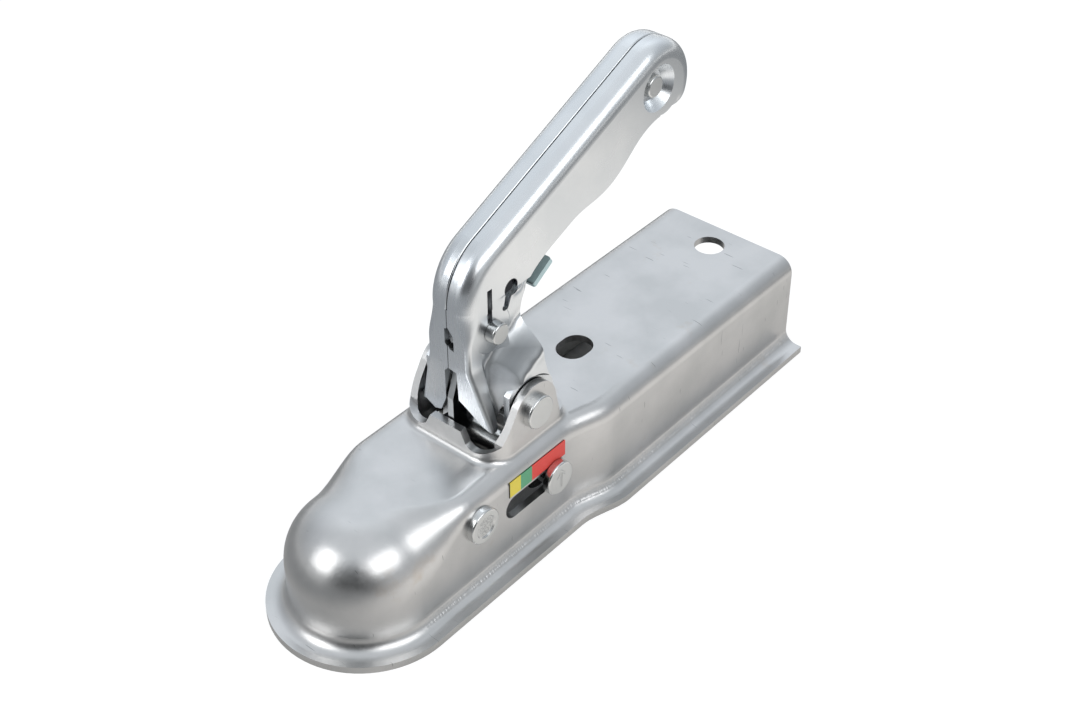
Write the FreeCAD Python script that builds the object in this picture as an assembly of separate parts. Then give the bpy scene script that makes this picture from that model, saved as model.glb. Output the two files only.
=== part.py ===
# Trailer coupling head for a 50 mm tow ball, pressed from sheet steel, with a cranked
# two-shell handle that is shown raised, so the coupling is open.
# Millimetres. The origin is the centre of the tow ball. +X points forward, to the towing
# vehicle, +Y to the left side and +Z up.
import FreeCAD, Part
import math
import os
from FreeCAD import Vector

# Driving sizes of the tow ball and the pressed housing
ball_radius = 25.0
ball_play = 0.3
sheet = 3.0
box_half = 33.2
roof_top = 28.3
roof_bend = 7.0
nose_bend = 22.5
wall_foot = -7.2
flange_bottom = -16.0
flange_reach = 8.3
tail_x = -222.9
flare_length = 23.0
bend_fade_x = -28.0

# Bolt holes for the drawbar, in the roof
tail_hole_x = -209.5
tail_hole_radius = 6.4
slot_hole_x = -119.5
slot_hole_length = 16.0
slot_hole_width = 12.8

# Handle pivot, ears and the raised collar round the roof opening
pivot_x = -68.0
pivot_z = 42.3
pivot_radius = 5.0
pivot_head_radius = 6.75
head_height = 3.0
head_round = 0.8
ear_outer = 23.5
ear_radius = 11.4
collar_front_x = -45.0
collar_rear_x = -87.0
collar_front_corner = 10.0
collar_rear_corner = 6.0
collar_front_top = 38.2
collar_rear_top = 33.3
collar_foot = 2.8
ear_front_foot = (-50.5, 35.5)
ear_rear_foot = (-81.8, 33.5)
collar_flat_half = 7.3
collar_scoop = ((9.7, 33.2), (12.2, 31.9), (16.0, 32.1), (20.0, 33.6), (24.5, 36.9))

# Cross pin in front of the slot, on which the ball jaw swings
jaw_pin_x = -31.4
jaw_pin_z = 15.6
jaw_pin_radius = 5.0
jaw_head_radius = 7.25
jaw_end_radius = 6.0
jaw_end_height = 1.2

# Wear indicator: pin, wall slot, travel and label
slot_z = 10.3
slot_front_x = -45.5
slot_rear_x = -80.0
slot_width = 10.0
slot_rear_play = 2.9
indicator_radius = 4.5
indicator_head_radius = 7.0
indicator_travel = 19.7
indicator_seat = 28.9
indicator_washer_seat = 30.2
indicator_end = 31.6
label_low = 16.3
label_high = 23.3
label_rear_gap = 1.0
label_front = -47.3
label_thickness = 0.2

# Travel of the mechanism, in degrees
handle_swing = 36.0
jaw_swing = 14.0

# Handle shells
shell = 2.5
grip_half = 9.75
grip_edge = 6.3
seam_gap = 0.15
seam_round = 0.7
handle_front_x = -48.0
crank_radius = 24.0
grip_slope = 23.1
grip_line_point = (-65.0, 110.6)
grip_tail_x = -149.0
grip_tail_radius = 19.5
grip_tip_radius = 8.0
grip_tip_angle = 200.0
grip_tip_end = 285.0
grip_fade_radius = 4.0
leg_outer = 21.5
fold_radius = 1.8
fold_inner_radius = 0.3
fold_start_z = 64.0
fold_slope = 0.28
fold_tip_z = 37.0
sweep_start_z = 62.0
sweep_slope = 0.15
cheek_front_x = -55.0
cheek_step_x = -61.0
step_point = (-75.0, 75.0)
step_slope = 0.617
step_depth = 10.7
leg_rear_x = -86.0
leg_foot_z = 35.5
leg_gap = 0.5
lever_head_radius = 14.2
lever_neck_share = 0.5
lever_neck_half = 4.6
lever_margin = 3.4
lever_side_play = 0.5
lever_trim_x = -57.6
joggle_circles = ((-65.0, 42.8, 12.3), (pivot_x, pivot_z, 12.0))
joggle_rear_lean = 23.2
keyhole_point = (-71.3, 88.6)
keyhole_radius = 3.5
keyhole_foot = (-68.2, 81.8)
keyhole_neck = 1.5
slit_center = (-59.95, 86.8)
slit_size = (2.5, 14.0)
notch_points = ((-52.4, 36.0), (-56.2, 40.0), (-58.4, 47.2), (-60.5, 52.0), (-65.0, 42.8))

# Underside of the handle seen from the side: finger hump, waist and rear edge of the leg
underside = ((-157.0, 118.9), (-149.0, 117.3), (-142.5, 113.9), (-136.0, 108.8),
             (-129.0, 104.3), (-120.0, 101.5), (-109.0, 100.1), (-100.0, 96.9),
             (-90.0, 92.8), (-83.0, 88.6), (-78.2, 83.0), (-76.0, 76.3), (-75.2, 70.0),
             (-75.0, 64.3), (-76.5, 56.3), (-78.5, 50.3), (-81.5, 42.3), (-82.5, 34.0))

# Openings left between the two shells in front, seen from the front
left_window = ((-1, 80.0), (0.2, 80.0), (3.0, 76.6), (3.0, 70.4), (1.2, 70.9), (0.2, 72.2), (-1, 72.2))
left_gap = ((-1, 61.9), (0.2, 61.9), (3.8, 61.2), (3.95, 48.8), (8.4, 44.9), (12.3, 40.6),
            (16.6, 37.7), (26, 36.6), (26, 28), (-1, 28))
right_window = ((-1, 80.0), (1.2, 79.0), (1.2, 73.0), (0.2, 71.6), (-1, 71.6))
right_gap = ((-1, 61.9), (0.2, 61.9), (1.8, 60.0), (2.0, 47.0), (5.3, 39.5), (9.3, 37.5),
             (14.2, 38.6), (19, 37.2), (26, 37.2), (26, 28), (-1, 28))
window_depth = 3.5
gap_depth = 9.0

# Rivets of the handle
grip_rivet = (-154.5, 131.3)
grip_rivet_radius = 3.0
grip_rivet_head = 4.4
dimple_rim = 9.3
dimple_floor_radius = 6.3
dimple_depth = 4.25
latch_rivet = (-61.3, 75.6)
latch_rivet_radius = 3.4
latch_rivet_head = 4.3
latch_rivet_proud = 4.0
latch_sleeve_radius = 5.0
pad_radius = 9.0
pad_sink = 0.15
pad_lip_radius = 11.5
pad_lip_height = 4.75

# Safety latch
latch_plate = 2.6
latch_foot_radius = 19.9
latch_foot_z = 29.6
latch_hub_radius = 8.6
tab_front = (-84.8, 80.7)
tab_rear = (-95.0, 87.0)
latch_front = ((-53.1, 76.6), (-53.3, 66.0), (-52.0, 57.9), (-48.35, 47.6))
latch_rear = ((-57.5, 29.6), (-55.2, 36.0), (-55.2, 48.0), (-58.5, 60.0), (-69.5, 72.6))
latch_arm = ((-91.5, 90.6), (-80.0, 90.0), (-70.0, 87.0), (-59.3, 84.0))
tab_half = 9.3
tab_plate = 2.4
tab_corner = 1.0
latch_wire = 1.3
latch_coil_start = 2.1

# Ball jaw
arm_inner = 12.0
arm_outer = 16.0
arm_margin = 3.6
cam_play = 0.4
cup_radius = 31.5
cup_swing_radius = 30.7
web_radius = 5.0
jaw_hub_radius = 8.0
jaw_hub_outer = 23.9
jaw_lip_angle = 32.0
spring_half = 10.0
jaw_spring_mean = 6.5
jaw_spring_wire = 2.3
jaw_spring_turns = 6
jaw_spring_pitch = 2.6
jaw_spring_leg = 22.0

# Fits
running = 0.05
side_gap = 0.3
sleeve_gap = 0.1

flare_front_x = slot_rear_x
flare_rear_x = flare_front_x - flare_length
indicator_x = slot_rear_x + indicator_radius + slot_rear_play
label_rear = slot_rear_x + label_rear_gap
wall_outer = roof_top
wall_inner = wall_outer - sheet
ear_inner = ear_outer - sheet
leg_inner = ear_inner - leg_gap - shell
lever_outer = ear_inner - leg_gap


def box(x0, x1, y0, y1, z0, z1):
    return Part.makeBox(x1 - x0, y1 - y0, z1 - z0, Vector(x0, y0, z0))


def rod(x, z, radius, y0, y1):
    return Part.makeCylinder(radius, y1 - y0, Vector(x, y0, z), Vector(0, 1, 0))


def frustum(x, z, radius0, radius1, y0, y1):
    return Part.makeCone(radius0, radius1, y1 - y0, Vector(x, y0, z), Vector(0, 1, 0))


def smooth(t):
    t = min(max(t, 0.0), 1.0)
    return t * t * (3.0 - 2.0 * t)


def side_point(p, y=0.0):
    return Vector(p[0], y, p[1])


def polygon_prism(points, y0, y1):
    corners = [side_point(p, y0) for p in points]
    face = Part.Face(Part.makePolygon(corners + corners[:1]))
    return face.extrude(Vector(0, y1 - y0, 0))


def mirrored(shape):
    return shape.mirror(Vector(0, 0, 0), Vector(0, 1, 0))


def fused(shapes):
    return shapes[0].multiFuse(shapes[1:]).removeSplitter()


def on_circle(center, radius, degrees):
    angle = math.radians(degrees)
    return (center[0] + radius * math.cos(angle), center[1] + radius * math.sin(angle))


def tangent_point(center, radius, outside, side):
    # Where a line from the outside point touches the circle, on the chosen side.
    dx = outside[0] - center[0]
    dz = outside[1] - center[1]
    base = math.degrees(math.atan2(dz, dx))
    spread = math.degrees(math.acos(radius / math.hypot(dx, dz)))
    return on_circle(center, radius, base + side * spread)


# Pressed housing

def sheet_section(half, bend, place):
    # One closed outline of the bent sheet: roof, bends, walls and turned-out flanges.
    curl = wall_foot - flange_bottom - sheet
    right = []

    def arc(center, radius, start, stop):
        mid = (start + stop) / 2.0
        return [on_circle(center, radius, a) for a in (start, mid, stop)]

    tip = half + flange_reach
    outer = [("line", [(0, roof_top), (half - bend, roof_top)]),
             ("arc", arc((half - bend, roof_top - bend), bend, 90, 0)),
             ("line", [(half, roof_top - bend), (half, wall_foot)]),
             ("arc", arc((half + curl, wall_foot), curl, 180, 270)),
             ("line", [(half + curl, flange_bottom + sheet), (tip, flange_bottom + sheet)]),
             ("line", [(tip, flange_bottom + sheet), (tip, flange_bottom)]),
             ("line", [(tip, flange_bottom), (half + curl, flange_bottom)]),
             ("arc", arc((half + curl, wall_foot), curl + sheet, 270, 180)),
             ("line", [(half - sheet, wall_foot), (half - sheet, roof_top - bend)]),
             ("arc", arc((half - bend, roof_top - bend), bend - sheet, 0, 90)),
             ("line", [(half - bend, roof_top - sheet), (0, roof_top - sheet)])]
    for kind, pts in outer:
        right.append((kind, [place(p) for p in pts]))
    return right


def section_edges(section):
    edges = []
    for kind, pts in section:
        if kind == "line":
            edges.append(Part.LineSegment(pts[0], pts[1]).toShape())
        else:
            edges.append(Part.Arc(pts[0], pts[1], pts[2]).toShape())
    return edges


def half_face(half, bend, x):
    edges = section_edges(sheet_section(half, bend, lambda p: Vector(x, p[0], p[1])))
    first = edges[0].Vertexes[0].Point
    last = edges[-1].Vertexes[-1].Point
    edges.append(Part.LineSegment(last, first).toShape())
    return Part.Wire(edges)


def both_sides(solid):
    return fused([solid, mirrored(solid)])


def straight_run(half, bend, x0, x1):
    face = Part.Face(half_face(half, bend, x0))
    return face.extrude(Vector(x1 - x0, 0, 0))


def faded_run(steps, half_at, bend_at):
    wires = [half_face(half_at(x), bend_at(x), x) for x in steps]
    return Part.makeLoft(wires, True, False)


def spaced(x0, x1, count):
    return [x0 + (x1 - x0) * i / (count - 1.0) for i in range(count)]


def nose():
    edges = section_edges(sheet_section(wall_outer, nose_bend, lambda p: Vector(0, p[0], p[1])))
    first = edges[0].Vertexes[0].Point
    last = edges[-1].Vertexes[-1].Point
    edges.append(Part.LineSegment(last, first).toShape())
    face = Part.Face(Part.Wire(edges))
    return face.revolve(Vector(0, 0, 0), Vector(0, 0, 1), -180)


def bend_between(x):
    return nose_bend + (roof_bend - nose_bend) * smooth(x / bend_fade_x)


def half_between(x):
    share = (x - flare_front_x) / (flare_rear_x - flare_front_x)
    return wall_outer + (box_half - wall_outer) * smooth(share)


def pressed_body():
    front = faded_run(spaced(0.0, bend_fade_x, 6), lambda x: wall_outer, bend_between)
    waist = straight_run(wall_outer, roof_bend, bend_fade_x, flare_front_x)
    flare = faded_run(spaced(flare_front_x, flare_rear_x, 6), half_between, lambda x: roof_bend)
    tail = straight_run(box_half, roof_bend, flare_rear_x, tail_x)
    sides = [both_sides(piece) for piece in (front, waist, flare, tail)]
    return fused([nose()] + sides)


def rounded_frame(inset, z0, z1):
    # An upright block with the collar's plan, its corners rounded, drawn in by the inset.
    half = ear_outer - inset
    block = box(collar_rear_x + inset, collar_front_x - inset, -half, half, z0, z1)
    for end, corner in ((collar_rear_x + inset, collar_rear_corner),
                        (collar_front_x - inset, collar_front_corner)):
        upright = [e for e in block.Edges if abs(e.tangentAt(e.FirstParameter).z) > 0.9
                   and abs(e.CenterOfMass.x - end) < 0.01]
        block = block.makeFillet(corner - inset, upright)
    return block


def ear_outline():
    pivot = (pivot_x, pivot_z)
    front = tangent_point(pivot, ear_radius, ear_front_foot, 1)
    rear = tangent_point(pivot, ear_radius, ear_rear_foot, -1)
    top = on_circle(pivot, ear_radius, 90)
    low = roof_top - sheet
    corners = [(collar_rear_x - 1, low), (collar_rear_x - 1, collar_rear_top),
               (ear_rear_foot[0] - 0.2, collar_rear_top), ear_rear_foot, rear]
    points = [side_point(p, -ear_outer - 1) for p in corners]
    edges = [Part.LineSegment(a, b).toShape() for a, b in zip(points, points[1:])]
    crown = [side_point(p, -ear_outer - 1) for p in (rear, top, front)]
    edges.append(Part.Arc(*crown).toShape())
    rest = [front, ear_front_foot, (ear_front_foot[0], low), corners[0]]
    points = [side_point(p, -ear_outer - 1) for p in rest]
    edges += [Part.LineSegment(a, b).toShape() for a, b in zip(points, points[1:])]
    return Part.Face(Part.Wire(edges)).extrude(Vector(0, 2 * ear_outer + 2, 0))


def front_wall_outline():
    # Flat top in the middle and a scooped notch at each corner for the handle's legs.
    x = ear_front_foot[0]
    low = roof_top - sheet
    half = []
    scoop = collar_scoop
    for side in (1, -1):
        top = [Vector(x, 0, collar_front_top), Vector(x, side * collar_flat_half, collar_front_top),
               Vector(x, side * scoop[0][0], scoop[0][1])]
        edges = [Part.LineSegment(a, b).toShape() for a, b in zip(top, top[1:])]
        curve = Part.BSplineCurve()
        curve.interpolate([Vector(x, side * p[0], p[1]) for p in scoop])
        edges.append(curve.toShape())
        foot = [Vector(x, side * scoop[-1][0], scoop[-1][1]),
                Vector(x, side * scoop[-1][0], low), Vector(x, 0, low), top[0]]
        edges += [Part.LineSegment(a, b).toShape() for a, b in zip(foot, foot[1:])]
        face = Part.Face(Part.Wire(edges))
        half.append(face.extrude(Vector(collar_front_x + 1 - x, 0, 0)))
    return fused(half)


def collar():
    low = roof_top - sheet
    high = pivot_z + ear_radius + 1
    outside = rounded_frame(0, low, high)
    inside = rounded_frame(sheet, low - 1, high + 1)
    return outside.cut(inside).common(fused([ear_outline(), front_wall_outline()]))


def collar_fillet(body):
    # Rolled foot where the front and rear of the collar leave the flat roof.
    chosen = []
    for e in body.Edges:
        c = e.CenterOfMass
        low = abs(c.z - roof_top) < 0.01 and abs(e.BoundBox.ZLength) < 0.01
        at_front = abs(c.x - collar_front_x) < 0.01 and e.BoundBox.YLength > 10
        if low and at_front:
            chosen.append(e)
    return body.makeFillet(collar_foot, chosen)


def slot_tool(x0, x1, z, width, y0, y1):
    radius = width / 2.0
    middle = box(x0 + radius, x1 - radius, y0, y1, z - radius, z + radius)
    return fused([middle, rod(x0 + radius, z, radius, y0, y1), rod(x1 - radius, z, radius, y0, y1)])


def drawbar_hole_tools():
    z0 = roof_top - sheet - 1
    depth = sheet + 2
    round_hole = Part.makeCylinder(tail_hole_radius, depth, Vector(tail_hole_x, 0, z0))
    radius = slot_hole_width / 2.0
    reach = slot_hole_length / 2.0 - radius
    middle = box(slot_hole_x - reach, slot_hole_x + reach, -radius, radius, z0, z0 + depth)
    ends = [Part.makeCylinder(radius, depth, Vector(slot_hole_x + s * reach, 0, z0)) for s in (-1, 1)]
    return [round_hole, fused([middle] + ends)]


def housing():
    body = fused([pressed_body(), collar()])
    body = body.cut(rounded_frame(sheet, 0, collar_front_top + 30))
    body = collar_fillet(body)
    reach = box_half + flange_reach
    tools = drawbar_hole_tools()
    tools.append(rod(pivot_x, pivot_z, pivot_radius, -reach, reach))
    tools.append(rod(jaw_pin_x, jaw_pin_z, jaw_pin_radius, -reach, reach))
    tools.append(slot_tool(slot_rear_x, slot_front_x, slot_z, slot_width, -reach, reach))
    return body.cut(tools)


# Handle: two pressed shells that meet on the middle plane

def grip_line_z(x):
    return grip_line_point[1] - math.tan(math.radians(grip_slope)) * (x - grip_line_point[0])


def crank_center():
    length = crank_radius * math.tan(math.radians(90 - grip_slope) / 2)
    return handle_front_x - crank_radius, grip_line_z(handle_front_x) - length


def spine_bends():
    # The three bends of the upper edge: crank, tail and tip, each with its radius and angles.
    up = 90 - grip_slope
    tail = on_circle((grip_tail_x, grip_line_z(grip_tail_x)), -grip_tail_radius, up)
    tip = on_circle(tail, grip_tail_radius - grip_tip_radius, grip_tip_angle)
    return [(crank_center(), crank_radius, 0, up),
            (tail, grip_tail_radius, up, grip_tip_angle),
            (tip, grip_tip_radius, grip_tip_angle, grip_tip_end)]


def spine_edges(inset):
    edges = []
    last = None
    for center, radius, a0, a1 in spine_bends():
        points = [side_point(on_circle(center, radius - inset, a)) for a in (a0, (a0 + a1) / 2, a1)]
        if last is not None and last.distanceToPoint(points[0]) > 0.01:
            edges.append(Part.LineSegment(last, points[0]).toShape())
        edges.append(Part.Arc(*points).toShape())
        last = points[2]
    return edges


def underside_edge(start):
    curve = Part.BSplineCurve()
    curve.interpolate([side_point(p) for p in (start,) + underside])
    return curve.toShape()


def handle_side():
    # Everything inside the outline of the handle seen from the side.
    edges = spine_edges(0.0)
    first = edges[0].Vertexes[0].Point
    tail = edges[-1].Vertexes[-1].Point
    edges.append(underside_edge((tail.x, tail.z)))
    foot = edges[-1].Vertexes[-1].Point
    low = Vector(handle_front_x, 0, foot.z)
    edges.append(Part.LineSegment(foot, low).toShape())
    edges.append(Part.LineSegment(low, first).toShape())
    return Part.Face(Part.Wire(edges)).extrude(Vector(0, 40, 0))


def rim_points(place):
    # Cross-section of the rolled edge: seam round, wall, corner and the start of the cheek.
    diagonal = math.sqrt(0.5)
    bend = grip_edge - shell
    turn = (grip_edge, grip_half - grip_edge)
    seam = (seam_round, seam_gap + seam_round)
    outer = [(seam_round, seam_gap), (seam[0] * (1 - diagonal), seam[1] - seam_round * diagonal),
             (0, seam[1]), (0, turn[1]),
             (turn[0] - grip_edge * diagonal, turn[1] + grip_edge * diagonal), (turn[0], grip_half)]
    inner = [(turn[0], grip_half - shell),
             (turn[0] - bend * diagonal, turn[1] + bend * diagonal), (shell, turn[1]),
             (shell, seam_gap)]
    return [place(*p) for p in outer + inner]


def rim_face(place):
    p = rim_points(place)
    edges = [Part.Arc(p[0], p[1], p[2]).toShape(), Part.LineSegment(p[2], p[3]).toShape(),
             Part.Arc(p[3], p[4], p[5]).toShape(), Part.LineSegment(p[5], p[6]).toShape(),
             Part.Arc(p[6], p[7], p[8]).toShape(), Part.LineSegment(p[8], p[9]).toShape(),
             Part.LineSegment(p[9], p[0]).toShape()]
    return Part.Face(Part.Wire(edges))


def rim():
    pieces = []
    last = None
    for center, radius, a0, a1 in spine_bends():
        def place(inset, y, center=center, radius=radius, angle=a0):
            return side_point(on_circle(center, radius - inset, angle), y)
        face = rim_face(place)
        start = side_point(on_circle(center, radius, a0))
        if last is not None and last.distanceToPoint(start) > 0.01:
            pieces.append(face.extrude(last - start))
        pieces.append(face.revolve(side_point(center), Vector(0, -1, 0), a1 - a0))
        last = side_point(on_circle(center, radius, a1))
    return pieces


def tail_fade():
    # Runs the rounded edge out to the flat cheek past the tip of the tail.
    center, radius, a0, a1 = spine_bends()[-1]

    def place(inset, y):
        return side_point(on_circle(center, radius - inset, a1), y)

    turn = (grip_edge, grip_half - grip_edge)
    near = on_circle(turn, grip_edge, 135)
    edges = [Part.Arc(place(0, turn[1]), place(*near), place(turn[0], grip_half)).toShape()]
    corners = [place(turn[0], grip_half), place(turn[0], grip_half + 1),
               place(-1, grip_half + 1), place(-1, turn[1]), place(0, turn[1])]
    edges += [Part.LineSegment(a, b).toShape() for a, b in zip(corners, corners[1:])]
    inward = place(1, 0) - place(0, 0)
    swept = math.degrees(math.acos(grip_fade_radius / (grip_fade_radius + grip_edge))) + 3
    axis_point = place(0, grip_half + grip_fade_radius)
    return Part.Face(Part.Wire(edges)).revolve(axis_point, inward, swept)


def cheek_plate():
    edges = spine_edges(grip_edge)
    first = edges[0].Vertexes[0].Point
    tail = edges[-1].Vertexes[-1].Point
    center, radius, a0, a1 = spine_bends()[-1]
    tip = side_point(on_circle(center, radius, a1))
    low = first.z - 12
    corners = [tail, tip, Vector(tip.x + 4, 0, low), Vector(first.x, 0, low), first]
    edges += [Part.LineSegment(a, b).toShape() for a, b in zip(corners, corners[1:])]
    plate = Part.Face(Part.Wire(edges)).extrude(Vector(0, shell, 0))
    plate.translate(Vector(0, grip_half - shell, 0))
    return plate


def fold_y(z):
    return grip_half + fold_slope * max(fold_start_z - max(z, fold_tip_z), 0.0)


def sweep(z):
    # Angle by which the front wall of the leg leans back from the seam to the fold.
    back = sweep_slope * max(sweep_start_z - max(z, fold_tip_z), 0.0)
    return math.atan2(back, fold_y(z))


def cheek_y(x, z):
    # The cheek flares out along the front fold. Behind it, below a slanting bend, it steps
    # outwards to stand beside the collar's ears.
    depth = step_point[1] - step_slope * (x - step_point[0]) - z
    front = min(max((x - cheek_step_x) / (cheek_front_x - cheek_step_x), 0.0), 1.0)
    step = (leg_outer - grip_half) * smooth(depth / step_depth) * (1.0 - front)
    flare = (fold_y(z) - grip_half) * front
    blend = 2.0 * min(1.0, (step + flare) / 5.0) + 0.001
    share = min(max(0.5 + 0.5 * (step - flare) / blend, 0.0), 1.0)
    return grip_half + flare + (step - flare) * share + blend * share * (1.0 - share)


def leg_section(z):
    radius = fold_radius + (grip_edge - fold_radius) * smooth((z - 72.0) / 14.0)
    stations = spaced(cheek_front_x, leg_rear_x, 10)
    lean = sweep(z)
    angles = spaced(math.degrees(lean), 90.0, 3)
    rows = []
    for inset in (0.0, shell):
        bend = max(radius - inset, fold_inner_radius)
        y = fold_y(z) - inset - bend
        x = handle_front_x - (inset + bend + y * math.sin(lean)) / math.cos(lean)
        arc = [Vector(p[0], p[1], z) for p in (on_circle((x, y), bend, a) for a in angles)]
        back = (inset + seam_gap * math.sin(lean)) / math.cos(lean)
        start = Vector(handle_front_x - back, seam_gap, z)
        curve = Part.BSplineCurve()
        curve.interpolate([Vector(x, cheek_y(x, z) - inset, z) for x in stations],
                          Parameters=spaced(0.0, 1.0, len(stations)))
        cheek = curve.toShape()
        rows.append([Part.LineSegment(start, arc[0]).toShape(), Part.Arc(*arc).toShape(),
                     Part.LineSegment(arc[2], cheek.Vertexes[0].Point).toShape(), cheek])
    outer, inner = rows
    rear = [row[-1].Vertexes[-1].Point for row in rows]
    front = [row[0].Vertexes[0].Point for row in rows]
    edges = outer + [Part.LineSegment(rear[0], rear[1]).toShape()] + inner[::-1]
    edges.append(Part.LineSegment(front[1], front[0]).toShape())
    return Part.Wire(edges)


def leg():
    levels = spaced(crank_center()[1], leg_foot_z, 16)
    return Part.makeLoft([leg_section(z) for z in levels], True, False)


def belt(center0, radius0, center1, radius1, y0, y1):
    # Two discs and the band stretched round them.
    dx = center1[0] - center0[0]
    dz = center1[1] - center0[1]
    base = math.degrees(math.atan2(dz, dx))
    spread = math.degrees(math.acos((radius0 - radius1) / math.hypot(dx, dz)))
    corners = [on_circle(center0, radius0, base + spread), on_circle(center1, radius1, base + spread),
               on_circle(center1, radius1, base - spread), on_circle(center0, radius0, base - spread)]
    return fused([polygon_prism(corners, y0, y1), rod(center0[0], center0[1], radius0, y0, y1),
                  rod(center1[0], center1[1], radius1, y0, y1)])


def pin_path(center, swing):
    # Where the indicator pin runs, as seen from a part that turns about the center by the
    # swing while the handle closes.
    points = []
    for share in spaced(0.0, 1.0, 5):
        angle = math.radians(swing * share)
        dx = indicator_x + indicator_travel * share - center[0]
        dz = slot_z - center[1]
        points.append((center[0] + dx * math.cos(angle) + dz * math.sin(angle),
                       center[1] - dx * math.sin(angle) + dz * math.cos(angle)))
    return points


def track(points, radius, y0, y1):
    return fused([belt(a, radius, b, radius, y0, y1) for a, b in zip(points, points[1:])])


def lever():
    # Hangs from the pivot through the roof opening and takes the indicator pin in its slot.
    pivot = (pivot_x, pivot_z)
    path = pin_path(pivot, handle_swing)
    neck = [pivot_x + (path[0][0] - pivot_x) * lever_neck_share,
            pivot_z + (path[0][1] - pivot_z) * lever_neck_share]
    width = indicator_radius + lever_side_play
    edge = width + lever_margin
    y0 = leg_inner
    y1 = lever_outer
    plate = fused([belt(pivot, lever_head_radius, neck, lever_neck_half, y0, y1),
                   belt(neck, lever_neck_half, path[0], edge, y0, y1), track(path, edge, y0, y1)])
    ahead = box(lever_trim_x, handle_front_x, y0 - 1, y1 + 1, fold_tip_z, fold_start_z)
    return plate.cut([track(path, width, y0 - 1, y1 + 1), ahead])


def joggle_tools():
    # The cheek is pressed inwards beside the ear, so only the lever is left there.
    lift = leg_outer - lever_outer + 1
    tools = [frustum(x, z, r, r + lift, lever_outer, lever_outer + lift) for x, z, r in joggle_circles]
    reach = joggle_circles[1][2]
    swung = 90 + joggle_rear_lean
    top = on_circle((pivot_x, pivot_z), reach, swung)
    rear = (top[0] - 20 * math.sin(math.radians(swung)), top[1] + 20 * math.cos(math.radians(swung)))
    area = [(pivot_x, pivot_z), top, rear, (rear[0], 30), (pivot_x, 30)]
    tools.append(polygon_prism(area, lever_outer, 30))
    return tools


def front_wall_cut(points, depth):
    # Opening in the front wall of a shell, with its corners as seen from the front.
    corners = [Vector(handle_front_x + 2, p[0], p[1]) for p in points]
    face = Part.Face(Part.makePolygon(corners + corners[:1]))
    return face.extrude(Vector(-depth - 2, 0, 0))


def seam_cuts(window, gap):
    return [front_wall_cut(window, window_depth), front_wall_cut(gap, gap_depth)]


def foot_notch():
    # Clears the ear between the pointed front fold and the pivot.
    low = fold_tip_z - 8
    points = list(notch_points) + [(notch_points[-1][0], low), (handle_front_x, low)]
    return polygon_prism(points, grip_half + 1, leg_outer + 6)


def cheek_slots():
    y0 = grip_half - shell - 1
    y1 = grip_half + 1
    (x, z), (width, height) = slit_center, slit_size
    slit = box(x - width / 2, x + width / 2, y0, y1, z - height / 2, z + height / 2)
    keyhole = [rod(keyhole_point[0], keyhole_point[1], keyhole_radius, y0, y1),
               belt(keyhole_point, keyhole_neck, keyhole_foot, keyhole_neck, y0, y1)]
    return [slit] + keyhole


def plain_shell():
    upper = fused(rim() + [cheek_plate()]).cut(tail_fade())
    upper = upper.common(box(-200, 0, -5, 30, crank_center()[1], 200))
    body = upper.fuse(leg()).common(handle_side())
    x, z = latch_rivet
    floor = grip_half - pad_sink
    pad = rod(x, z, pad_radius + 1.5, floor - shell + 2 * pad_sink, floor)
    body = body.fuse(pad.common(box(-80, -56, 0, 20, 60, 77)))
    lip = frustum(x, z, pad_radius, pad_lip_radius, floor, floor + pad_lip_height)
    for tool in [lip] + joggle_tools() + [foot_notch()]:
        body = body.cut(tool)
    return body


def finished_shell(body, front_cuts):
    x, z = latch_rivet
    gx, gz = grip_rivet
    floor = grip_half - dimple_depth
    cup = frustum(gx, gz, dimple_rim - 0.5, dimple_rim + 1.5, floor - shell, grip_half - shell)
    for tool in front_cuts:
        body = body.cut(tool)
    body = body.fuse(cup).fuse(lever())
    cuts = [frustum(gx, gz, dimple_floor_radius, dimple_rim, floor, grip_half),
            rod(gx, gz, grip_rivet_radius, 0, 12), rod(x, z, latch_rivet_radius, 0, 12),
            rod(pivot_x, pivot_z, pivot_radius + running, 0, 30)]
    return body.cut(cuts + cheek_slots())


# Rivets, pins and sleeves

def headed_end(x, z, radius, y0, y1):
    # A flat head with its outer rim rounded.
    head = rod(x, z, radius, min(y0, y1), max(y0, y1))
    rim_edge = [e for e in head.Edges if abs(e.CenterOfMass.y - y1) < 0.01 and len(e.Vertexes) == 1]
    return head.makeFillet(head_round, rim_edge)


def tube(x, z, bore, outer, y0, y1):
    return rod(x, z, outer, y0, y1).cut(rod(x, z, bore, y0 - 1, y1 + 1))


def through_pin(x, z, radius, head_radius, seat, height):
    heads = [headed_end(x, z, head_radius, s * seat, s * (seat + height)) for s in (1, -1)]
    return fused([rod(x, z, radius, -seat, seat)] + heads)


def jaw_pivot_pin():
    # Its right end is closed with a low riveted head.
    x = jaw_pin_x
    top = wall_outer + head_height
    head = headed_end(x, jaw_pin_z, jaw_head_radius, wall_outer, top)
    end = headed_end(x, jaw_pin_z, jaw_end_radius, -wall_outer, -wall_outer - jaw_end_height)
    pin = fused([rod(x, jaw_pin_z, jaw_pin_radius, -wall_outer, wall_outer), head, end])
    return pin.cut(frustum(x, jaw_pin_z, jaw_head_radius - 3.0, jaw_head_radius - 2.4, top - 0.5, top))


def indicator_pin():
    x = indicator_x
    head = headed_end(x, slot_z, indicator_head_radius, indicator_seat, indicator_seat + head_height)
    end = headed_end(x, slot_z, indicator_radius + 0.8, -indicator_washer_seat, -indicator_end)
    return fused([rod(x, slot_z, indicator_radius, -indicator_washer_seat, indicator_seat), head, end])


# Safety latch and its spring

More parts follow.
